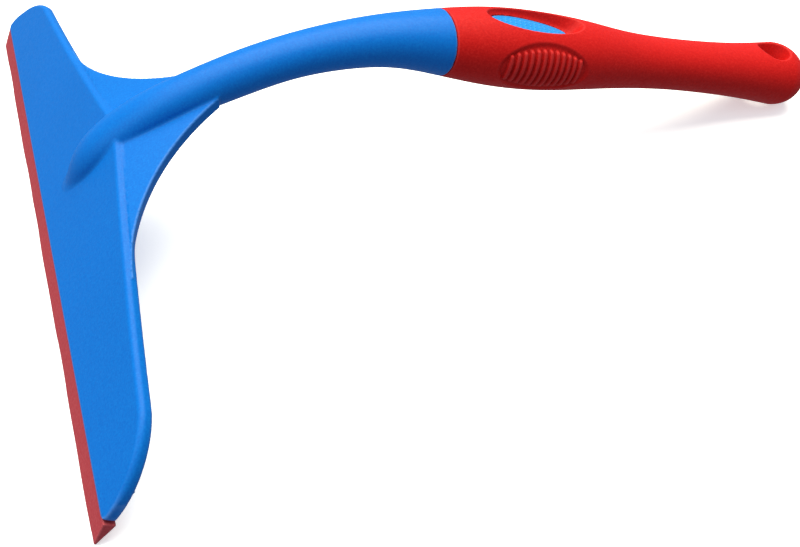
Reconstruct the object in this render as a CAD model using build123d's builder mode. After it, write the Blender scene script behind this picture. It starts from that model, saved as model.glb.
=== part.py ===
"""Window cleaning squeegee: a wide sloping blade bar on a curved neck with a soft oval grip.

Frame: +X runs from the wiping lip to the end of the grip, +Y along the blade, +Z up.
The squeegee stands as it rests on a table, on its lip and on the round end of its grip.
The origin is under the middle of its bounding box, on the table.
"""
from build123d import *
import os
from math import cos, radians, sin

os.makedirs("parts", exist_ok=True)

# ---------------------------------------------------------------- driving dimensions, mm
lip_x = -166.15         # the wiping edge, measured from the origin
lip_length = 252.0      # rubber's wiping lip
bead_near = 123.4       # the rubber's bead and stem stop here at the closed -Y end
bar_length = 251.2      # sloping blade bar
bar_slope = 48.7        # of the bar's top face, degrees from the table
bar_front = (3.3, 10.14)  # x from the lip and z of the bar's front top edge
bar_width_middle = 44.2
bar_width_end = 24.4
bar_width_end_at = 107.0  # y at which the bar has that width
bar_hollow = 1.0        # how far the rear edge curves in between those two
bar_thickness = 4.2
bar_corner = 21.0
bar_front_corner = 2.0
bar_edge = 2.0          # rounding of the top edge

bead_back = 5.0         # from the bar's front edge to the centre of the rubber's bead
bead_depth = 2.6        # below the bar's top face
bead_radius = 1.3
stem_thickness = 1.0
rubber_gap = 0.3        # sliding gap round the rubber
lip_reach = 9.8         # from the bar's front edge to the wiping edge
lip_root = (0.6, 4.6)   # depth of the lip's upper and lower face at its root
lip_tip = (3.4, 4.2)    # the same at the wiping edge

jaw_width = 9.5
jaw_near = 121.4        # the jaw's end on the -Y side
jaw_far = 124.6         # the jaw's end on the +Y side
jaw_bottom = 5.4        # its underside, below the bar's top face
peg_back = 8.0
peg_radius = 1.1
peg_height = 1.4
peg_count = 9
peg_pitch = 29.0

web_slope = 20.0        # of the web's top face, along the handle
web_step = 2.0          # from the bar's top face down to the web's
web_thickness = 4.0
web_foot = 58.0         # y where the web's edge runs out on the bar
web_waist = (8.8, 26.0)  # a point of the web's edge, along the slope and half width
web_neck = 8.0          # half width where the web runs out on the neck
web_reach = 36.0        # length of the web along its slope
web_bite = 2.0          # how far the web runs into the bar

oval = 1.2              # width over height of every section of the arm
# x from the lip, z and half height of the arm's sections; the first is buried in the bar
neck = [(14.8, 19.4, 2.6), (21.5, 29.7, 4.7), (33.5, 39.4, 5.8), (47.0, 46.2, 6.3), (60.0, 50.6, 6.7),
        (74.0, 54.6, 7.0), (92.0, 58.5, 7.1), (110.0, 60.1, 7.7), (130.0, 59.3, 9.0), (149.5, 55.6, 11.4)]
grip = [(149.5, 55.6, 11.4), (168.0, 51.1, 13.5), (193.0, 44.8, 14.0), (212.0, 40.1, 12.8), (232.0, 34.7, 11.0),
        (254.0, 29.1, 10.1), (277.0, 23.3, 10.3), (300.0, 17.6, 11.4), (318.5, 13.1, 13.1)]
end_reach = 14.5        # of the grip's round end, past its last section
end_turns = (24, 44, 60, 72, 81)  # degrees round a rounded end where its sections stand
sleeve_wall = 3.0

hole_x = 316.0          # from the lip
hole_radius = 4.5
hole_mouth = 9.5        # at the funnels' wide ends, outside the grip
hole_throat = 13.0      # length of the straight wall
hole_reach = 17.0       # from the middle of the throat to the wide end of each funnel
hole_lining = 1.0       # thickness of the sleeve round the funnel's wide end

scoop_middle = (186.3, 56.2)  # x from the lip and z of the middle of the thumb scoop's floor
scoop_slope = 18.7
scoop_floor = (19.0, 6.6)     # half length and half width
scoop_top = (25.5, 11.5)      # the same, scoop_height above the floor
scoop_height = 9.0
badge_size = (18.0, 5.8)
badge_thickness = 1.8
badge_pocket = 1.5
badge_edge = 0.4        # rounding of its top edge

pad_middle = (186.2, 47.1)    # x from the lip and z of the middle of the finger pad
pad_size = (19.8, 8.8)        # half length and half height
pad_slope = 13.5
pad_depth = 1.0
pad_outer = 20.0              # half width that reaches past the grip
rib_count = 12
rib_bite = 0.2                # how far the ribs run into the pad's floor
rib_pitch = 2.87
rib_width = 1.5
rib_middle = 15.0             # length of the middle ribs
rib_shortening = 0.16         # mm lost per rib place squared, away from the middle

# ---------------------------------------------------------------- planes and the arm's axis
bar_top = Plane(
    origin=(lip_x + bar_front[0], 0, bar_front[1]),
    x_dir=(cos(radians(bar_slope)), 0, sin(radians(bar_slope))),
    z_dir=(-sin(radians(bar_slope)), 0, cos(radians(bar_slope))),
)
bar_side = Plane(origin=bar_top.origin, x_dir=bar_top.x_dir, z_dir=(0, -1, 0))

with BuildLine() as arm_axis:
    Spline(*[(lip_x + x, 0, z) for x, z, height in neck + grip[1:]])
axis = arm_axis.edges()[0]


def square_to_arm(x, z):
    """Plane across the arm at one of its sections, its x along the section's width."""
    place = axis.param_at_point(Vector(lip_x + x, 0, z))
    return Plane(origin=axis @ place, x_dir=(0, 1, 0), z_dir=axis % place)


def arm_body(sections, inset, round_end=0.0):
    """Smooth oval body through the sections, drawn in by the inset, its end rounded over a reach."""
    rings = [(square_to_arm(x, z), height - inset) for x, z, height in sections]
    last_plane, last_height = rings[-1]
    if round_end:
        for turn in end_turns:
            ahead = (round_end - inset) * sin(radians(turn))
            rings.append((last_plane.offset(ahead), last_height * cos(radians(turn))))
    with BuildPart() as body:
        for plane, height in rings:
            with BuildSketch(plane):
                Ellipse(oval * height, height)
        loft()
    return body.part


def hang_hole():
    """Upright hang hole: a straight throat that opens into a funnel above and below."""
    funnel = hole_reach - hole_throat / 2
    with BuildPart() as hole:
        with Locations((lip_x + hole_x, 0, grip[-1][1])):
            Cylinder(hole_radius, hole_throat)
            with Locations((0, 0, (hole_throat + funnel) / 2)):
                Cone(hole_radius, hole_mouth, funnel)
            with Locations((0, 0, -(hole_throat + funnel) / 2)):
                Cone(hole_mouth, hole_radius, funnel)
    return hole.part


neck_outside = arm_body(neck, 0)
grip_outside = arm_body(grip, 0, round_end=end_reach)
core_outside = arm_body(grip, sleeve_wall, round_end=end_reach)
pad_floor = arm_body(grip, pad_depth)
rib_root = arm_body(grip, pad_depth + rib_bite)

scoop_plane = Plane(
    origin=(lip_x + scoop_middle[0], 0, scoop_middle[1]),
    x_dir=(cos(radians(scoop_slope)), 0, -sin(radians(scoop_slope))),
    z_dir=(sin(radians(scoop_slope)), 0, cos(radians(scoop_slope))),
)


def scoop_body(margin):
    """Boat-shaped hollow of the thumb scoop, grown by a margin."""
    with BuildPart() as hollow:
        with BuildSketch(scoop_plane.offset(-margin)):
            Ellipse(scoop_floor[0] + margin, scoop_floor[1] + margin)
        with BuildSketch(scoop_plane.offset(scoop_height)):
            Ellipse(scoop_top[0] + margin, scoop_top[1] + margin)
        loft()
    return hollow.part


scoop_hollow = scoop_body(0)
scoop_core_cut = scoop_body(sleeve_wall)
hole_hollow = hang_hole()

# ---------------------------------------------------------------- frame
half_bar = bar_length / 2
half_lip = lip_length / 2
slot_height = stem_thickness + 2 * rubber_gap
bar_taper = (bar_width_middle - bar_width_end) / bar_width_end_at
edge_end = bar_width_end - bar_taper * (half_bar - bar_width_end_at)

with BuildPart() as blade_bar:
    with BuildSketch(bar_top):
        with BuildLine():
            Line((0, 0), (0, half_bar))
            Line((0, half_bar), (edge_end, half_bar))
            Line((edge_end, half_bar), (bar_width_end, bar_width_end_at))
            ThreePointArc(
                (bar_width_end, bar_width_end_at),
                ((bar_width_end + bar_width_middle) / 2 - bar_hollow, bar_width_end_at / 2),
                (bar_width_middle, 0),
            )
            Line((bar_width_middle, 0), (0, 0))
        half_outline = make_face()
        far_corners = half_outline.vertices().group_by(Axis.Y)[-1].sort_by(Axis.X)
        fillet(far_corners[0], bar_front_corner)
        fillet(far_corners[1], bar_corner)
        mirror(about=Plane.XZ)
    extrude(amount=-bar_thickness)
    top_edges = blade_bar.faces().sort_by(Axis(bar_top.origin, bar_top.z_dir))[-1].edges()
    rear_edges = top_edges.filter_by(
        lambda edge: (edge @ 0.5 - bar_top.origin).dot(bar_top.x_dir) > bar_front_corner
    )
    fillet(rear_edges, bar_edge)
    # room for the lower jaw, under the front edge, closed at the -Y end
    with BuildSketch(bar_side.offset(jaw_near + rubber_gap)):
        with Locations((jaw_width / 2, -(bead_depth + bar_thickness) / 2)):
            Rectangle(jaw_width, bar_thickness - bead_depth)
    extrude(amount=-bar_length, mode=Mode.SUBTRACT)
    # upper half of the channel for the rubber's stem and bead, closed there too
    with BuildSketch(bar_side.offset(bead_near + rubber_gap)):
        with Locations((bead_back / 2, -bead_depth)):
            Rectangle(bead_back, slot_height)
        with Locations((bead_back, -bead_depth)):
            Circle(bead_radius + rubber_gap)
    extrude(amount=-bar_length, mode=Mode.SUBTRACT)
    # blind holes for the jaw's pegs
    with BuildSketch(bar_top.offset(-bead_depth)):
        with Locations((peg_back, 0)):
            with GridLocations(1, peg_pitch, 1, peg_count):
                Circle(peg_radius)
    extrude(amount=peg_height, mode=Mode.SUBTRACT)

crease_run = Vector(*(bar_top.from_local_coords((bar_width_end, bar_width_end_at, 0))
                      - bar_top.from_local_coords((bar_width_middle, 0, 0))))
web_run = Vector(cos(radians(web_slope)), 0, sin(radians(web_slope)))
web_start = bar_top.from_local_coords((bar_width_middle, 0, -web_step))
web_top = Plane(origin=web_start, x_dir=web_run, z_dir=web_run.cross(crease_run))

with BuildPart() as half_web:
    foot = web_top.to_local_coords(bar_top.from_local_coords(
        (bar_width_middle - bar_taper * web_foot, web_foot, -web_step)))
    with BuildSketch(web_top):
        with BuildLine():
            Line((web_reach, 0), (web_reach, web_neck))
            ThreePointArc((web_reach, web_neck), web_waist, (foot.X, foot.Y))
            Line((foot.X, foot.Y), (foot.X - web_bite, foot.Y))
            Line((foot.X - web_bite, foot.Y), (-web_bite, 0))
            Line((-web_bite, 0), (web_reach, 0))
        make_face()
    extrude(amount=-web_thickness)

with BuildPart() as frame:
    add(blade_bar.part)
    add(half_web.part)
    add(half_web.part.mirror(Plane.XZ))
    add(neck_outside)
    add(core_outside)
    add(scoop_core_cut, mode=Mode.SUBTRACT)
    with Locations((lip_x + hole_x, 0, grip[-1][1])):
        Cylinder(hole_mouth + hole_lining, 2 * hole_reach, mode=Mode.SUBTRACT)
frame.part.label = "frame"


# ---------------------------------------------------------------- lower jaw
with BuildPart() as blade_retainer:
    with BuildSketch(bar_side.offset(jaw_near)):
        with Locations((jaw_width / 2, -(bead_depth + jaw_bottom) / 2)):
            Rectangle(jaw_width, jaw_bottom - bead_depth)
        with Locations((bead_back / 2, -bead_depth)):
            Rectangle(bead_back, slot_height, mode=Mode.SUBTRACT)
        with Locations((bead_back, -bead_depth)):
            Circle(bead_radius + rubber_gap, mode=Mode.SUBTRACT)
    extrude(amount=-(jaw_near + jaw_far))
    with BuildSketch(bar_top.offset(-bead_depth)):
        with Locations((peg_back, 0)):
            with GridLocations(1, peg_pitch, 1, peg_count):
                Circle(peg_radius)
    extrude(amount=peg_height)
blade_retainer.part.label = "blade_retainer"

# ---------------------------------------------------------------- rubber
with BuildPart() as rubber_blade:
    with BuildSketch(bar_side):
        with BuildLine():
            Polyline(
                (-rubber_gap, -lip_root[0]),
                (-lip_reach, -lip_tip[0]),
                (-lip_reach, -lip_tip[1]),
                (-rubber_gap, -lip_root[1]),
                close=True,
            )
        make_face()
    extrude(amount=half_lip, both=True)
    with BuildSketch(bar_side.offset(bead_near)):
        with Locations(((bead_back - rubber_gap) / 2, -bead_depth)):
            Rectangle(bead_back + rubber_gap, stem_thickness)
        with Locations((bead_back, -bead_depth)):
            Circle(bead_radius)
    extrude(amount=-(bead_near + half_lip))
rubber_blade.part.label = "rubber_blade"

# ---------------------------------------------------------------- badge in the thumb scoop
badge_seat = scoop_plane.offset(-badge_pocket)

with BuildPart() as thumb_badge:
    with BuildSketch(badge_seat):
        Ellipse(*badge_size)
    extrude(amount=badge_thickness)
    fillet(thumb_badge.edges().sort_by(Axis(scoop_plane.origin, scoop_plane.z_dir))[-1], badge_edge)
thumb_badge.part.label = "thumb_badge"

# ---------------------------------------------------------------- soft sleeve
pad_plane = Plane(
    origin=(lip_x + pad_middle[0], 0, pad_middle[1]),
    x_dir=(cos(radians(pad_slope)), 0, -sin(radians(pad_slope))),
    z_dir=(0, -1, 0),
)

with BuildPart() as pad_hollow:
    with BuildSketch(pad_plane):
        Ellipse(*pad_size)
    extrude(amount=pad_outer, both=True)
    add(pad_floor, mode=Mode.SUBTRACT)

with BuildPart() as ribs:
    with BuildSketch(pad_plane):
        for place in range(rib_count):
            step = place - (rib_count - 1) / 2
            with Locations((step * rib_pitch, 0)):
                SlotOverall(rib_middle - rib_shortening * step ** 2, rib_width, rotation=90)
    extrude(amount=pad_outer, both=True)
    add(rib_root, mode=Mode.SUBTRACT)
    add(grip_outside, mode=Mode.INTERSECT)

with BuildPart() as hole_tube:
    with Locations((lip_x + hole_x, 0, grip[-1][1])):
        Cylinder(hole_mouth + hole_lining, 2 * hole_reach)
    add(grip_outside, mode=Mode.INTERSECT)

scoop_lining = scoop_core_cut & grip_outside

with BuildPart() as grip_sleeve:
    add(grip_outside)
    add(core_outside, mode=Mode.SUBTRACT)
    add(scoop_lining)
    add(hole_tube.part)
    add(scoop_hollow, mode=Mode.SUBTRACT)
    add(hole_hollow, mode=Mode.SUBTRACT)
    add(pad_hollow.part, mode=Mode.SUBTRACT)
    add(ribs.part)
    with BuildSketch(badge_seat):
        Ellipse(*badge_size)
    extrude(amount=badge_pocket, mode=Mode.SUBTRACT)
grip_sleeve.part.label = "grip_sleeve"

for piece in (frame, blade_retainer, rubber_blade, thumb_badge, grip_sleeve):
    export_step(piece.part, "parts/" + piece.part.label + ".step")
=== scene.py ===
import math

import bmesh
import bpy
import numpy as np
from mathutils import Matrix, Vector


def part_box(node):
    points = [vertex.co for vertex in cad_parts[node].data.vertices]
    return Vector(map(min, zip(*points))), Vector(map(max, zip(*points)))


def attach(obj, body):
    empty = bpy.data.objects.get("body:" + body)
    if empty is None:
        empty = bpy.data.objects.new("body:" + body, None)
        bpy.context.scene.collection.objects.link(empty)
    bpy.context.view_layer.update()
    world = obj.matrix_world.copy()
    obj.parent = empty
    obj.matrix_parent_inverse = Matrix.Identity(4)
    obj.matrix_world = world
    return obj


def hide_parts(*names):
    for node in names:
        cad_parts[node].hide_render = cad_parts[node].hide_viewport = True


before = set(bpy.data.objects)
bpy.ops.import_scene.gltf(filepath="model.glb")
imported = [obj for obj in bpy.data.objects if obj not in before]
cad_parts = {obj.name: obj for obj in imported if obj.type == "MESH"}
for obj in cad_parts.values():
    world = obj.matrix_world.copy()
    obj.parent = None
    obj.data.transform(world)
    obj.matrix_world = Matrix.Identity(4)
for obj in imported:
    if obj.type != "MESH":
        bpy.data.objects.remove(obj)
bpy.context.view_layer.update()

# Window cleaning squeegee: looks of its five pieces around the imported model.
#
# The two mouldings, the badge and the rubber are described by distance fields (negative
# inside, in mm) and meshed here, so that every edge, blend and hollow has its own radius. The
# jaw is swept from its profile. x is measured from the wiping lip, y along the blade,
# z up from the table; mesh data is turned into metres in the row frame as it is made.

MM = 0.001
table_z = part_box("rubber_blade")[0].z / MM
lip_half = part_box("rubber_blade")[1].y / MM
jaw_low_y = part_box("blade_retainer")[0].y / MM
jaw_high_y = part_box("blade_retainer")[1].y / MM

# ---------------------------------------------------------------- sizes, mm
bar_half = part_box("frame")[1].y / MM
bar_slope = math.radians(48.7)
bar_front_x, bar_front_z = 3.3, 10.14
bar_width_middle = 44.2
bar_width_end = 24.4
bar_width_end_at = 107.0
bar_hollow = 1.0
bar_thickness = 4.2
bar_corner = 21.0
bar_front_corner = 2.0
bar_top_edge = 2.0
bar_end_edge = 0.7      # rounding of the top edge at the front corners
end_edge_reach = (4.0, 8.0)  # how far back from the front that edge starts to grow, and over what
bar_bottom_edge = 1.4
bar_front_edge = 0.3

bead_back, bead_depth, bead_radius = 5.0, 2.6, 1.3
bead_near = 123.4       # the bead and stem stop here at the closed -y end
stem_thickness = 1.0
rubber_gap = 0.3
lip_edge, lip_end_edge = 0.3, 0.25
rubber_slack = 0.12     # the part of that gap that shows
lip_reach = 9.8
lip_root = (0.6, 4.6)
lip_tip = (3.4, 4.2)
lip_front = bar_front_x - lip_reach * math.cos(bar_slope) + lip_tip[0] * math.sin(bar_slope)
lip_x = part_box("rubber_blade")[0].x / MM - lip_front
jaw_width, jaw_bottom = 9.5, 5.4
peg_back, peg_radius, peg_height, peg_pitch = 8.0, 1.1, 1.4, 29.0
peg_row_half = 4.5 * peg_pitch  # nine pegs
jaw_edge = 0.25         # rounding of the jaw's ends

web_slope = math.radians(20.0)
web_step = 2.0
web_thickness = 4.0
web_edge = 0.7
web_overlap = 3.0       # how far the web runs into the bar
web_end_x = 66.0        # where the webs end inside the neck
web_foot_end = 62.0     # half width past which there is no web
web_rim = ((27.6, 52.3), (41.8, 26.0), (64.5, 9.5))  # x and half width of three rim points

oval = 1.2              # width over height of the arm's sections
spine_oval = 1.6        # the same where the neck rises from the bar
spine_oval_end = 74.0   # x where it has become the arm's
# x, z and half height of the arm's sections; the first is buried in the bar
neck = [(14.8, 19.4, 2.6), (21.5, 29.7, 4.7), (33.5, 39.4, 5.8), (47.0, 46.2, 6.3), (60.0, 50.6, 6.7),
        (74.0, 54.6, 7.0), (92.0, 58.5, 7.1), (110.0, 60.1, 7.7), (130.0, 59.3, 9.0), (149.5, 55.6, 11.4)]
grip = [(168.0, 51.1, 13.5), (193.0, 44.8, 14.0), (212.0, 40.1, 12.8), (232.0, 34.7, 11.0),
        (254.0, 29.1, 10.1), (277.0, 23.3, 10.3), (300.0, 17.6, 11.4), (318.5, 13.1, 13.1)]
end_reach = 14.5
sleeve_wall = 3.0
seam_gap = 0.12         # half the groove between neck and sleeve
seam_edge = 0.5
bar_fillet = 0.9        # between the bar and the spine
web_fillet = 0.9        # between the webs and their neighbours

hole_x = 316.0
hole_radius, hole_mouth = 4.5, 9.5
hole_throat_half, hole_reach = 6.5, 17.0
hole_lining = 1.0
hole_rim = 0.9

scoop_x, scoop_z = 186.3, 56.2
scoop_slope = math.radians(18.7)
scoop_floor, scoop_top, scoop_height = (19.0, 6.6), (25.5, 11.5), 9.0
scoop_rim, scoop_root = 0.6, 1.6
badge_size, badge_top, badge_seat = (18.0, 5.8), 0.3, 1.5
badge_gap = 0.35

pad_x, pad_z = 186.2, 47.1
pad_slope = math.radians(13.5)
pad_size, pad_depth, pad_wall = (19.8, 8.8), 1.0, 2.2
rib_count, rib_pitch, rib_half_width = 12, 2.87, 0.95
rib_middle, rib_shortening, rib_height = 15.0, 0.16, 1.15


# ---------------------------------------------------------------- joining distances
def round_meet(a, b, radius):
    """Overlap of two bodies, the edge where they meet rounded."""
    corner = np.hypot(np.maximum(a + radius, 0), np.maximum(b + radius, 0))
    return np.minimum(np.maximum(a, b), -radius) + corner


def fillet_join(a, b, radius):
    """Both bodies together, the corner between them filled with a fillet."""
    return -round_meet(-a, -b, radius)


def ease(value):
    """Smooth step from 0 to 1."""
    value = np.clip(value, 0, 1)
    return value * value * (3 - 2 * value)


def oval_distance(parts):
    """First-order distance to an ellipsoid; parts are pairs of coordinate and half size."""
    size = np.sqrt(sum((place / half) ** 2 for place, half in parts)) + 1e-9
    slope = np.sqrt(sum((place / half ** 2) ** 2 for place, half in parts)) / size + 1e-9
    return (size - 1) / slope


def turned(x, z, origin_x, origin_z, angle):
    """Coordinates along and square to a line that starts at the origin and rises by the angle."""
    x, z = x - origin_x, z - origin_z
    return x * math.cos(angle) + z * math.sin(angle), z * math.cos(angle) - x * math.sin(angle)


# ---------------------------------------------------------------- the arm's axis
class Arm:
    """Smooth axis through the arm's sections, with a lookup from a point to its place on it."""

    pitch = 0.5
    low = np.array((-10.0, -20.0))
    high = np.array((360.0, 90.0))

    def __init__(self, sections):
        x, z, height = np.array(sections).T
        self.knots = np.concatenate(([0], np.cumsum(np.hypot(np.diff(x), np.diff(z)))))
        self.length = self.knots[-1]
        self.run = np.linspace(0, self.length, 1000)
        self.height = self.through(height)
        self.line = np.stack([self.through(x), self.through(z)], 1)
        self.ahead = np.gradient(self.line, self.run, axis=0)
        self.ahead /= np.linalg.norm(self.ahead, axis=1)[:, None]
        columns = np.arange(self.low[0], self.high[0], self.pitch)
        rows = np.arange(self.low[1], self.high[1], self.pitch)
        places = np.stack(np.meshgrid(columns, rows, indexing="ij"), -1)
        self.table = np.stack([self.nearest(column) for column in places])

    def through(self, values):
        """Natural cubic through the values at the knots, read along the run."""
        gaps, rises = np.diff(self.knots), np.diff(values)
        count = len(values)
        system, target = np.eye(count), np.zeros(count)
        for i in range(1, count - 1):
            system[i, i - 1:i + 2] = gaps[i - 1], 2 * (gaps[i - 1] + gaps[i]), gaps[i]
            target[i] = 6 * (rises[i] / gaps[i] - rises[i - 1] / gaps[i - 1])
        bend = np.linalg.solve(system, target)
        i = np.clip(np.searchsorted(self.knots, self.run) - 1, 0, count - 2)
        gap = gaps[i]
        after = (self.run - self.knots[i]) / gap
        before = 1 - after
        curve = (before ** 3 - before) * bend[i] + (after ** 3 - after) * bend[i + 1]
        return before * values[i] + after * values[i + 1] + curve * gap ** 2 / 6

    def nearest(self, points):
        """Length along the axis and offset above it, for a column of points in the middle plane."""
        away = points[:, None] - self.line[None]
        closest = (away ** 2).sum(2).argmin(1)
        step = points - self.line[closest]
        ahead = self.ahead[closest]
        along = self.run[closest] + (step * ahead).sum(1)
        return np.stack([along, step[:, 1] * ahead[:, 0] - step[:, 0] * ahead[:, 1]], 1)

    def place(self, x, z):
        """The same for any points, read from the table."""
        across = np.clip((x - self.low[0]) / self.pitch, 0, self.table.shape[0] - 1.001)
        up = np.clip((z - self.low[1]) / self.pitch, 0, self.table.shape[1] - 1.001)
        i, j = across.astype(int), up.astype(int)
        p, q = (across - i)[..., None], (up - j)[..., None]
        lower = self.table[i, j] * (1 - p) + self.table[i + 1, j] * p
        upper = self.table[i, j + 1] * (1 - p) + self.table[i + 1, j + 1] * p
        both = lower * (1 - q) + upper * q
        return both[..., 0], both[..., 1]

    def at(self, x):
        """Length along the axis where it passes x."""
        return float(np.interp(x, self.line[:, 0], self.run))


arm = Arm(neck + grip)
sleeve_start = arm.at(neck[-1][0])
spine_end = arm.at(spine_oval_end)


def arm_distance(along, off, y, inset=0.0):
    """Distance to the oval arm, drawn in by the inset, with its round far end."""
    height = np.interp(along, arm.run, arm.height) - inset
    width = height * (oval + (spine_oval - oval) * (1 - ease(along / spine_end)))
    past_end = np.maximum(along - arm.length, 0)
    before_start = np.minimum(along, 0)
    return oval_distance([
        (off, height), (y, width), (past_end, end_reach - inset), (before_start, 4.0)])


# ---------------------------------------------------------------- frame
def bar_distance(w, y, h):
    """The sloping blade bar, with the recess, channel and peg holes on its underside."""
    side = np.abs(y)
    share = side / bar_width_end_at
    rear = bar_width_middle - (bar_width_middle - bar_width_end) * share
    rear = rear - bar_hollow * 4 * np.maximum(share * (1 - share), 0)
    taper = math.cos(math.atan((bar_width_middle - bar_width_end) / bar_width_end_at))
    outline = round_meet((w - rear) * taper, side - bar_half, bar_corner)
    top_edge = bar_end_edge + (bar_top_edge - bar_end_edge) * ease(
        (w - end_edge_reach[0]) / end_edge_reach[1])
    body = round_meet(outline, h, top_edge)
    body = round_meet(body, -h - bar_thickness, bar_bottom_edge)
    front = round_meet(-w, side - bar_half, bar_front_corner)
    body = round_meet(body, front, bar_front_edge)
    recess = np.maximum(w - jaw_width, h + bead_depth)
    slot = np.maximum(w - bead_back, np.abs(h + bead_depth) - stem_thickness / 2 - rubber_gap)
    channel = np.hypot(w - bead_back, h + bead_depth) - bead_radius - rubber_gap
    peg_place = (side + peg_pitch / 2) % peg_pitch - peg_pitch / 2
    pegs = np.maximum(np.hypot(w - peg_back, peg_place) - peg_radius, h + bead_depth - peg_height)
    pegs = np.maximum(pegs, side - peg_row_half)
    recess = np.maximum(recess, jaw_low_y - rubber_gap - y)
    channel = np.maximum(np.minimum(slot, channel), -y - bead_near - rubber_gap)
    cut = np.minimum(np.minimum(recess, channel), pegs)
    return np.maximum(body, -cut), rear


def rim_circle():
    """Centre, in x and half width, and radius of the circle through the web's rim points."""
    (ax, ay), (bx, by), (cx, cy) = web_rim
    lines = np.array([[bx - ax, by - ay], [cx - ax, cy - ay]]) * 2
    sums = np.array([bx * bx + by * by - ax * ax - ay * ay, cx * cx + cy * cy - ax * ax - ay * ay])
    centre = np.linalg.solve(lines, sums)
    return centre[0], centre[1], math.hypot(ax - centre[0], ay - centre[1])


rim_x, rim_side, rim_radius = rim_circle()
crease_drop = -(bar_width_middle - bar_width_end) / bar_width_end_at
web_start_x = bar_front_x + bar_width_middle * math.cos(bar_slope) + web_step * math.sin(bar_slope)
web_start_z = bar_front_z + bar_width_middle * math.sin(bar_slope) - web_step * math.cos(bar_slope)


def web_normal():
    """Upward normal of the half web's top face on the +y side."""
    along = np.array((math.cos(web_slope), 0, math.sin(web_slope)))
    crease = np.array((crease_drop * math.cos(bar_slope), 1, crease_drop * math.sin(bar_slope)))
    normal = np.cross(along, crease)
    return normal / np.linalg.norm(normal)


web_up = web_normal()


def web_distance(x, side, z, w, h, rear):
    """The thin webs that run from the bar's rear edge to the neck."""
    height = (x - web_start_x) * web_up[0] + side * web_up[1] + (z - web_start_z) * web_up[2]
    rim = rim_radius - np.hypot(x - rim_x, side - rim_side)
    body = round_meet(rim, height, web_edge)
    body = round_meet(body, -height - web_thickness, web_edge)
    body = np.maximum(body, rear - web_overlap - w)
    body = np.maximum(body, h + web_step)
    body = np.maximum(body, side - web_foot_end)
    return np.maximum(body, x - web_end_x)


def scoop_distance(x, y, z, margin=0.0):
    """The boat-shaped thumb scoop, grown by a margin."""
    along, up = turned(x, z, scoop_x, scoop_z, -scoop_slope)
    share = np.clip(up / scoop_height, -0.5, 1.5)
    length = scoop_floor[0] + (scoop_top[0] - scoop_floor[0]) * share + margin
    width = scoop_floor[1] + (scoop_top[1] - scoop_floor[1]) * share + margin
    wall = oval_distance([(along, length), (y, width)])
    return round_meet(wall, -up - margin, scoop_root)


def hole_distance(x, y, z):
    """The upright hang hole with its funnels."""
    height = np.abs(z - grip[-1][1])
    widening = (hole_mouth - hole_radius) / (hole_reach - hole_throat_half)
    radius = hole_radius + widening * np.maximum(height - hole_throat_half, 0)
    return np.hypot(x - hole_x, y) - radius


def frame_distance(x, y, z):
    """The hard moulding: bar, webs, neck and the core inside the sleeve."""
    side = np.abs(y)
    w, h = turned(x, z, bar_front_x, bar_front_z, bar_slope)
    along, off = arm.place(x, z)
    bar, rear = bar_distance(w, y, h)
    web = web_distance(x, side, z, w, h, rear)
    outside = arm_distance(along, off, y)
    under_bar = -h - bar_thickness + bar_bottom_edge
    spine = np.maximum(outside, under_bar - np.maximum(w - rear + 4, 0) * 5)
    spine = round_meet(spine, along - sleeve_start + seam_gap, seam_edge)
    core = arm_distance(along, off, y, sleeve_wall)
    core = np.maximum(core, sleeve_start - 2 - along)
    core = np.maximum(core, -scoop_distance(x, y, z, sleeve_wall))
    core = np.maximum(core, hole_mouth + hole_lining - np.hypot(x - hole_x, y))
    body = fillet_join(bar, web, web_fillet)
    body = fillet_join(body, spine, bar_fillet)
    return np.minimum(body, core)


# ---------------------------------------------------------------- soft sleeve
def finger_pad(x, z):
    """How far the finger pads lower the sleeve's flank, less what the ribs stand on their floor."""
    along, up = turned(x, z, pad_x, pad_z, -pad_slope)
    lens = oval_distance([(along, pad_size[0]), (up, pad_size[1])])
    depth = pad_depth * ease(-lens / pad_wall + 0.5)
    step = np.clip(np.round(along / rib_pitch - 0.5) + 0.5, -(rib_count - 1) / 2, (rib_count - 1) / 2)
    half_length = (rib_middle - rib_shortening * step ** 2) / 2 - rib_half_width
    away = np.hypot(along - step * rib_pitch, np.maximum(np.abs(up) - half_length, 0))
    rib = rib_height * (1 - np.minimum(away / rib_half_width, 1) ** 4)
    return depth - rib * np.minimum(depth / pad_depth, 1)


def sleeve_distance(x, y, z):
    """The soft grip: a shell round the core, with scoop, badge pocket, ribs and hang hole."""
    along, off = arm.place(x, z)
    outside = arm_distance(along, off, y)
    outside = outside + finger_pad(x, z) * ease(np.abs(y) / 8 - 0.2)
    outside = round_meet(outside, sleeve_start + seam_gap - along, seam_edge)
    inside = arm_distance(along, off, y, sleeve_wall)
    hollow = np.maximum(inside, -scoop_distance(x, y, z, sleeve_wall))
    hollow = np.maximum(hollow, hole_mouth + hole_lining - np.hypot(x - hole_x, y))
    body = np.maximum(outside, -hollow)
    body = round_meet(body, -scoop_distance(x, y, z), scoop_rim)
    body = round_meet(body, -hole_distance(x, y, z), hole_rim)
    along_scoop, up = turned(x, z, scoop_x, scoop_z, -scoop_slope)
    pocket = oval_distance([
        (along_scoop, badge_size[0] + badge_gap), (y, badge_size[1] + badge_gap)])
    pocket = np.maximum(pocket, -up - badge_seat)
    return np.maximum(body, -pocket)


# ---------------------------------------------------------------- badge
pip_pitch, pip_radius, pip_height = 2.3, 0.75, 0.28
badge_edge, badge_dome = 0.35, 0.35


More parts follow.
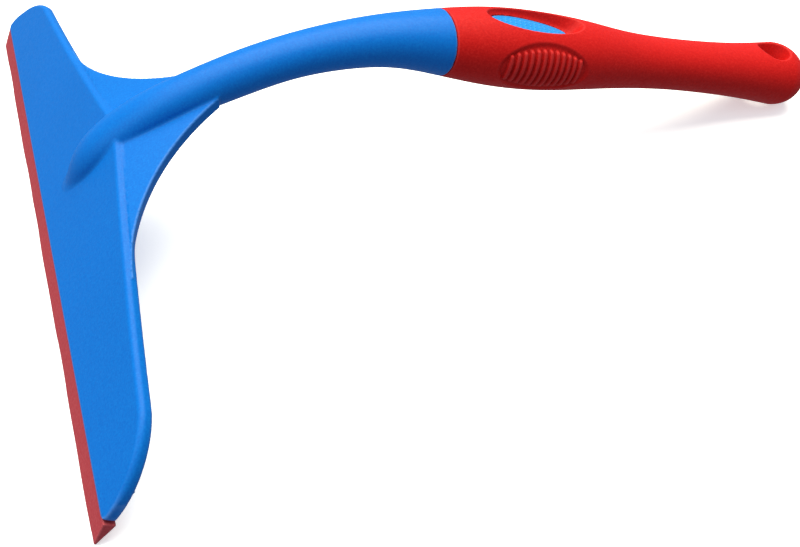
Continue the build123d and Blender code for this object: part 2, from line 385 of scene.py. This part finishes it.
def badge_distance(x, y, z):
    """Oval badge with a slight dome, a raised border and rows of small pips."""
    along, up = turned(x, z, scoop_x, scoop_z, -scoop_slope)
    size = np.sqrt((along / badge_size[0]) ** 2 + (y / badge_size[1]) ** 2)
    rim = oval_distance([(along, badge_size[0]), (y, badge_size[1])])
    row = np.round(y / pip_pitch)
    shift = along + row * pip_pitch / 2
    away = np.hypot(shift - np.round(shift / pip_pitch) * pip_pitch, y - row * pip_pitch)
    pips = pip_height * (0.5 + 0.5 * np.cos(math.pi * np.minimum(away / pip_radius, 1)))
    border = 0.2 * (0.5 + 0.5 * np.cos(math.pi * np.clip((rim + 1.0) / 0.6, -1, 1)))
    top = badge_top + badge_dome * (1 - size ** 2) + border + pips * ease((-rim - 1.7) / 0.6)
    body = round_meet(rim, up - top, badge_edge)
    return np.maximum(body, -up - badge_seat + 0.05)


# ---------------------------------------------------------------- meshing
def sample_blocks(field, low, counts, step, block):
    """The field on a regular grid, worked out only in the blocks that the surface may cross."""
    grid = np.ones(counts * block + 1, np.float32)
    size = step * block
    corners = np.stack(np.meshgrid(*[np.arange(n) for n in counts], indexing="ij"), -1).reshape(-1, 3)
    centres = low + (corners + 0.5) * size
    middle = field(*centres.T)
    for corner in corners[middle < 0]:
        a, b, c = corner * block
        grid[a:a + block + 1, b:b + block + 1, c:c + block + 1] = -1
    ticks = np.arange(block + 1) * step
    for corner in corners[np.abs(middle) < size * 1.3]:
        start = low + corner * size
        points = np.meshgrid(*[start[i] + ticks for i in range(3)], indexing="ij")
        a, b, c = corner * block
        grid[a:a + block + 1, b:b + block + 1, c:c + block + 1] = field(*points)
    return grid


def net_surface(grid, low, step):
    """Quads of the surface net: one point in each cell that the surface crosses."""
    cells = np.array(grid.shape) - 1
    inside = grid < 0
    quads, owners, crossings = [], [], []
    for axis in range(3):
        near = [slice(None)] * 3
        far = [slice(None)] * 3
        near[axis], far[axis] = slice(None, -1), slice(1, None)
        near, far = tuple(near), tuple(far)
        edge = np.argwhere(inside[near] != inside[far])
        start, end = grid[near][tuple(edge.T)], grid[far][tuple(edge.T)]
        crossing = edge.astype(float)
        crossing[:, axis] += start / (start - end)
        second, third = np.eye(3, dtype=int)[[(axis + 1) % 3, (axis + 2) % 3]]
        around = np.stack([edge, edge - second, edge - second - third, edge - third], 1)
        ids = np.ravel_multi_index(tuple(around.reshape(-1, 3).T), cells).reshape(-1, 4)
        outward = start < 0
        quads.append(np.where(outward[:, None], ids, ids[:, ::-1]))
        owners.append(ids.reshape(-1))
        crossings.append(np.repeat(crossing, 4, axis=0))
    owners, crossings = np.concatenate(owners), np.concatenate(crossings)
    names, index = np.unique(owners, return_inverse=True)
    share = np.bincount(index)
    points = np.stack([np.bincount(index, crossings[:, i]) / share for i in range(3)], 1)
    faces = np.searchsorted(names, np.concatenate(quads))
    return low + points * step, faces


def in_chunks(field, points, chunk=20000):
    """The field at a list of points."""
    return np.concatenate([field(*points[i:i + chunk].T) for i in range(0, len(points), chunk)])


def slopes(field, points, reach):
    """Field, gradient and bend (second differences added up) at the points."""
    here = in_chunks(field, points)
    gradient, bend = np.zeros_like(points), -6 * here
    for i in range(3):
        offset = np.eye(3)[i] * reach
        ahead, behind = in_chunks(field, points + offset), in_chunks(field, points - offset)
        gradient[:, i] = (ahead - behind) / (2 * reach)
        bend += ahead + behind
    return here, gradient, bend / reach ** 2


def pull_to_surface(field, points, step):
    """Moves the points onto the surface, straight along its normal."""
    for attempt in range(3):
        here, gradient, bend = slopes(field, points, 0.05)
        move = here / np.maximum((gradient ** 2).sum(1), 0.2)
        points = points - np.clip(move, -step / 2, step / 2)[:, None] * gradient
    return points


def mesh_field(name, field, low, high, step, block=12):
    """Closed mesh of the field's zero surface, with its normals and its bend as an attribute."""
    low, high = np.array(low, float), np.array(high, float)
    counts = np.ceil((high - low) / (step * block)).astype(int)
    points, faces = net_surface(sample_blocks(field, low, counts, step, block), low, step)
    points = pull_to_surface(field, points, step)
    here, normals, bend = slopes(field, points, 0.12)
    normals /= np.linalg.norm(normals, axis=1)[:, None] + 1e-9
    here, unused, broad_bend = slopes(field, points, 0.8)
    return make_object(name, points, faces, normals, broad_bend)


def make_object(name, points, faces, normals=None, bend=None):
    """Mesh object from points in mm; its faces may have any number of corners."""
    corners = np.array([len(face) for face in faces])
    data = bpy.data.meshes.new(name)
    data.vertices.add(len(points))
    placed = (points + (lip_x, 0, table_z)) * MM
    data.vertices.foreach_set("co", placed.astype(np.float32).ravel())
    data.loops.add(int(corners.sum()))
    data.loops.foreach_set("vertex_index", np.concatenate(faces).astype(np.int32))
    data.polygons.add(len(faces))
    starts = np.concatenate(([0], np.cumsum(corners)[:-1]))
    data.polygons.foreach_set("loop_start", starts.astype(np.int32))
    data.polygons.foreach_set("use_smooth", np.ones(len(faces), bool))
    data.update(calc_edges=True)
    data.validate()
    if normals is not None:
        data.normals_split_custom_set_from_vertices(normals.tolist())
    if bend is not None:
        layer = data.attributes.new("bend", "FLOAT", "POINT")
        layer.data.foreach_set("value", bend.astype(np.float32))
    piece = bpy.data.objects.new(name, data)
    bpy.context.scene.collection.objects.link(piece)
    return piece


# ---------------------------------------------------------------- swept pieces
def sweep_bar(name, outline, low, high, spacing, end_edge):
    """The outline (back from the bar's front, up from its top face) swept along y."""
    inner = np.arange(low + 2, high - 2 + spacing / 2, spacing)
    turns = np.radians((0, 30, 60, 90))
    edges = [(end_edge * (1 - math.cos(t)), end_edge * (1 - math.sin(t))) for t in turns]
    stations = [(low + back, draw) for back, draw in edges] + [(y, 0.0) for y in inner]
    stations += [(high - back, draw) for back, draw in edges[::-1]]
    middle = outline.mean(0)
    count = len(outline)
    points = []
    for y, draw in stations:
        ring = outline + (middle - outline) / np.linalg.norm(
            middle - outline, axis=1)[:, None] * draw
        x = bar_front_x + ring[:, 0] * math.cos(bar_slope) - ring[:, 1] * math.sin(bar_slope)
        z = bar_front_z + ring[:, 0] * math.sin(bar_slope) + ring[:, 1] * math.cos(bar_slope)
        points.append(np.stack([x, np.full(count, y), z], 1))
    faces = []
    for ring in range(len(stations) - 1):
        for i in range(count):
            j = (i + 1) % count
            here, ahead = ring * count, (ring + 1) * count
            faces.append([here + i, here + j, ahead + j, ahead + i])
    faces.append(list(range(count))[::-1])
    faces.append([(len(stations) - 1) * count + i for i in range(count)])
    piece = make_object(name, np.concatenate(points), [np.array(face) for face in faces])
    mesh = bmesh.new()
    mesh.from_mesh(piece.data)
    bmesh.ops.recalc_face_normals(mesh, faces=mesh.faces)
    mesh.to_mesh(piece.data)
    mesh.free()
    return piece


def rubber_distance(x, y, z):
    """Wedge-shaped lip, very slightly wavy, with its stem and the bead that the channel holds."""
    w, h = turned(x, z, bar_front_x, bar_front_z, bar_slope)
    share = np.clip(-w / lip_reach, 0, 1)
    wave = 0.5 + 0.3 * np.sin(y / 13.0) + 0.2 * np.sin(y / 5.1 + 1.0)
    upper = h + lip_root[0] + (lip_tip[0] - lip_root[0]) * share + 0.3 * wave * share ** 2
    lower = -h - lip_root[1] + (lip_root[1] - lip_tip[1]) * share
    edge = -w - lip_reach + (0.1 + 0.35 * wave) * share
    lip = round_meet(upper, lower, lip_edge)
    lip = round_meet(lip, np.maximum(edge, w + rubber_slack), lip_end_edge)
    lip = round_meet(lip, np.abs(y) - lip_half, lip_end_edge)
    stem = np.maximum(np.abs(h + bead_depth) - stem_thickness / 2, w - bead_back)
    stem = np.maximum(stem, -w - 1)
    bead = np.hypot(w - bead_back, h + bead_depth) - bead_radius
    inner = np.maximum(np.minimum(stem, bead), np.maximum(-y - bead_near, y - lip_half))
    return np.minimum(lip, inner)


def jaw_profile():
    """Cross-section of the lower jaw, with half of the channel for the rubber's bead."""
    half_slot = stem_thickness / 2 + rubber_gap
    radius = bead_radius + rubber_gap
    start = math.asin(half_slot / radius)
    turns = np.linspace(-math.pi + start, 0, 9)
    hollow = [(bead_back + radius * math.cos(a), -bead_depth + radius * math.sin(a)) for a in turns]
    top = -bead_depth - 0.02
    outer = [(jaw_width - 0.15, top), (jaw_width - 0.15, -jaw_bottom + 0.5), (jaw_width - 0.65, -jaw_bottom),
             (0.6, -jaw_bottom), (0.0, -jaw_bottom + 0.6), (0.0, -bead_depth - half_slot)]
    return np.array(hollow + outer)


# ---------------------------------------------------------------- materials
def new_material(name):
    """Empty node material with its Principled shader."""
    material = bpy.data.materials.new(name)
    material.use_nodes = True
    nodes = material.node_tree.nodes
    return material, nodes, material.node_tree.links, nodes["Principled BSDF"]


def noise(nodes, links, coordinates, scale, detail=2.0, roughness=0.5):
    """Noise texture in object space, its scale in features per metre."""
    texture = nodes.new("ShaderNodeTexNoise")
    texture.inputs["Scale"].default_value = scale
    texture.inputs["Detail"].default_value = detail
    texture.inputs["Roughness"].default_value = roughness
    links.new(coordinates, texture.inputs["Vector"])
    return texture.outputs["Fac"]


def ramp(nodes, links, value, stops):
    """Colour ramp through stops of (place, colour)."""
    node = nodes.new("ShaderNodeValToRGB")
    while len(node.color_ramp.elements) < len(stops):
        node.color_ramp.elements.new(0.5)
    for element, (place, colour) in zip(node.color_ramp.elements, stops):
        element.position = place
        element.color = (*colour, 1.0)
    links.new(value, node.inputs["Fac"])
    return node.outputs["Color"]


def map_range(nodes, links, value, low, high, to_low, to_high):
    """Clamped linear map of a value."""
    node = nodes.new("ShaderNodeMapRange")
    for socket, number in zip(("From Min", "From Max", "To Min", "To Max"), (low, high, to_low, to_high)):
        node.inputs[socket].default_value = number
    links.new(value, node.inputs["Value"])
    return node.outputs["Result"]


def mix_colour(nodes, links, factor, first, second, mode="MIX"):
    """Colours mixed by a factor; each may be a socket or a plain colour."""
    node = nodes.new("ShaderNodeMix")
    node.data_type = "RGBA"
    node.blend_type = mode
    for socket, value in zip((node.inputs[0], node.inputs[6], node.inputs[7]), (factor, first, second)):
        if isinstance(value, bpy.types.NodeSocket):
            links.new(value, socket)
        elif isinstance(value, tuple):
            socket.default_value = (*value, 1.0)
        else:
            socket.default_value = value
    return node.outputs[2]


specular = 0.12         # of all the moulded materials
wear_and_highlight_white = 0.75       # what convex edges drift towards: partly rubbed wear, partly painted highlight


def moulded(name, dark, base, light, rough, grain_scale, grain_depth, wear_and_highlight=0.5):
    """Moulded plastic or soft rubber: mottled colour, fine grain, convex edges lightened (partly rubbed
    wear, partly painted highlight) and painted shade in hollows.
    """
    material, nodes, links, shader = new_material(name)
    place = nodes.new("ShaderNodeTexCoord").outputs["Object"]
    broad = noise(nodes, links, place, 22.0, 3.0)
    grain = noise(nodes, links, place, grain_scale, 2.0, 0.65)
    speck = noise(nodes, links, place, grain_scale * 0.45, 1.0)
    colour = ramp(nodes, links, grain, [(0.28, dark), (0.5, base), (0.72, light)])
    drift = ramp(nodes, links, broad, [(0.3, tuple(c * 0.9 for c in base)), (0.7, base)])
    colour = mix_colour(nodes, links, 0.45, colour, drift)
    bend = nodes.new("ShaderNodeAttribute")
    bend.attribute_name = "bend"
    # convex edges lightened towards a pale colour: partly rubbed wear, partly painted highlight
    rubbed_edge_and_highlight = map_range(nodes, links, bend.outputs["Fac"], 0.5, 1.8, 0.0, wear_and_highlight)
    # painted shade: concave creases and hollows darkened towards a deeper colour
    hollow = map_range(nodes, links, bend.outputs["Fac"], -0.15, -0.9, 0.0, 0.35)
    colour = mix_colour(nodes, links, rubbed_edge_and_highlight, colour, tuple(0.85 * c + 0.15 * wear_and_highlight_white for c in light))
    colour = mix_colour(nodes, links, hollow, colour, tuple(c * 0.7 for c in dark))
    links.new(colour, shader.inputs["Base Color"])
    roughness = map_range(nodes, links, speck, 0.3, 0.7, rough - 0.05, rough + 0.07)
    links.new(roughness, shader.inputs["Roughness"])
    shader.inputs["Specular IOR Level"].default_value = specular
    bump = nodes.new("ShaderNodeBump")
    bump.inputs["Strength"].default_value = 0.5
    bump.inputs["Distance"].default_value = grain_depth * MM
    links.new(grain, bump.inputs["Height"])
    links.new(bump.outputs["Normal"], shader.inputs["Normal"])
    return material


blue_dark, blue_base, blue_light = (0.001, 0.11, 0.48), (0.001, 0.145, 0.56), (0.004, 0.19, 0.62)
red_dark, red_base, red_light = (0.42, 0.003, 0.003), (0.55, 0.006, 0.005), (0.66, 0.02, 0.015)
rubber_dark, rubber_base, rubber_light = (0.40, 0.03, 0.035), (0.50, 0.05, 0.06), (0.58, 0.09, 0.10)

blue_plastic = moulded("blue_plastic", blue_dark, blue_base, blue_light, 0.40, 1500.0, 0.05)
blue_light_plastic = moulded(
    "blue_plastic_light", blue_base, (0.01, 0.25, 0.66), (0.04, 0.34, 0.74), 0.36, 1800.0, 0.03)
soft_red = moulded("red_soft_grip", red_dark, red_base, red_light, 0.56, 1300.0, 0.08, 0.12)
rubber_red = moulded("red_rubber", rubber_dark, rubber_base, rubber_light, 0.5, 1600.0, 0.04, 0.2)


# ---------------------------------------------------------------- the pieces
frame_step, sleeve_step, badge_step, rubber_step = 0.66, 0.55, 0.3, 0.45  # of the nets, mm
field_margin, rubber_margin = 1.5, 1.0  # round each node's box, mm


def finish_piece(piece, material, body, node):
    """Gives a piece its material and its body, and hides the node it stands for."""
    piece.data.materials.append(material)
    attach(piece, body)
    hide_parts(node)


def node_range(node, margin):
    """Corners of a node's box in mm from the lip, with a margin."""
    low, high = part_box(node)
    shift = np.array((lip_x, 0, table_z))
    return np.array(low) / MM - shift - margin, np.array(high) / MM - shift + margin


frame_piece = mesh_field(
    "squeegee_frame", frame_distance, *node_range("frame", field_margin), frame_step)
finish_piece(frame_piece, blue_plastic, "handle", "frame")
sleeve_piece = mesh_field(
    "soft_grip_sleeve", sleeve_distance, *node_range("grip_sleeve", field_margin), sleeve_step)
finish_piece(sleeve_piece, soft_red, "handle", "grip_sleeve")
badge_piece = mesh_field(
    "oval_thumb_badge", badge_distance, *node_range("thumb_badge", field_margin), badge_step)
finish_piece(badge_piece, blue_light_plastic, "handle", "thumb_badge")
jaw_piece = sweep_bar("lower_jaw", jaw_profile(), jaw_low_y, jaw_high_y, 6.0, jaw_edge)
finish_piece(jaw_piece, blue_light_plastic, "handle", "blade_retainer")
rubber_piece = mesh_field(
    "rubber_strip", rubber_distance, *node_range("rubber_blade", rubber_margin), rubber_step)
finish_piece(rubber_piece, rubber_red, "rubber", "rubber_blade")


# ---------------------------------------------------------------- floor, light and camera
def plain_surface(name, colour, rough):
    """Plain studio material."""
    material, nodes, links, shader = new_material(name)
    shader.inputs["Base Color"].default_value = (*colour, 1.0)
    shader.inputs["Roughness"].default_value = rough
    return material


def add_floor():
    """Large pale floor at the height on which the squeegee rests."""
    data = bpy.data.meshes.new("studio_floor")
    reach, height = 6.0, table_z * MM
    data.from_pydata([(-reach, -reach, height), (reach, -reach, height), (reach, reach, height),
                      (-reach, reach, height)], [], [(0, 1, 2, 3)])
    floor = bpy.data.objects.new("studio_floor", data)
    bpy.context.scene.collection.objects.link(floor)
    white = plain_surface("studio_white", (0.92, 0.92, 0.92), 0.9)
    shader = white.node_tree.nodes["Principled BSDF"]
    shader.inputs["Emission Color"].default_value = (1.0, 1.0, 1.0, 1.0)
    shader.inputs["Emission Strength"].default_value = 0.5
    data.materials.append(white)
    floor.visible_glossy = False
    floor.visible_diffuse = False


def add_area_light(name, place, aim, size, power, colour):
    """Soft square light aimed at a point."""
    data = bpy.data.lights.new(name, "AREA")
    data.shape = "SQUARE"
    data.size = size
    data.energy = power
    data.color = colour
    light = bpy.data.objects.new(name, data)
    bpy.context.scene.collection.objects.link(light)
    light.location = place
    direction = np.array(aim) - np.array(place)
    yaw = math.atan2(direction[1], direction[0]) - math.pi / 2
    pitch = math.atan2(direction[2], math.hypot(direction[0], direction[1])) + math.pi / 2
    light.rotation_euler = (pitch, 0, yaw)


def add_world(strength):
    """Even pale surroundings."""
    world = bpy.data.worlds.new("studio_world")
    world.use_nodes = True
    background = world.node_tree.nodes["Background"]
    background.inputs["Color"].default_value = (0.8, 0.88, 1.0, 1.0)
    background.inputs["Strength"].default_value = strength
    bpy.context.scene.world = world


def add_camera():
    """Camera above the near end of the blade, looking down along the handle."""
    data = bpy.data.cameras.new("camera")
    data.sensor_width = 36.0
    data.lens = 40.5
    camera = bpy.data.objects.new("camera", data)
    bpy.context.scene.collection.objects.link(camera)
    from_lip = (17.6, -256.5, 231.8)
    camera.location = ((from_lip[0] + lip_x) * MM, from_lip[1] * MM, from_lip[2] * MM)
    camera.rotation_euler = [math.radians(angle) for angle in (43.79, -4.46, -21.59)]
    bpy.context.scene.camera = camera


light_aim = (0.0, 0.0, 0.03)
add_floor()
add_world(0.42)
add_area_light("key_light", (0.1, 0.7, 1.9), light_aim, 2.2, 88.0, (1.0, 0.98, 0.82))
add_area_light("fill_light", (-1.4, -0.2, 1.3), light_aim, 1.4, 9.0, (0.82, 0.9, 1.0))
add_camera()
bpy.context.scene.view_settings.view_transform = "Standard"
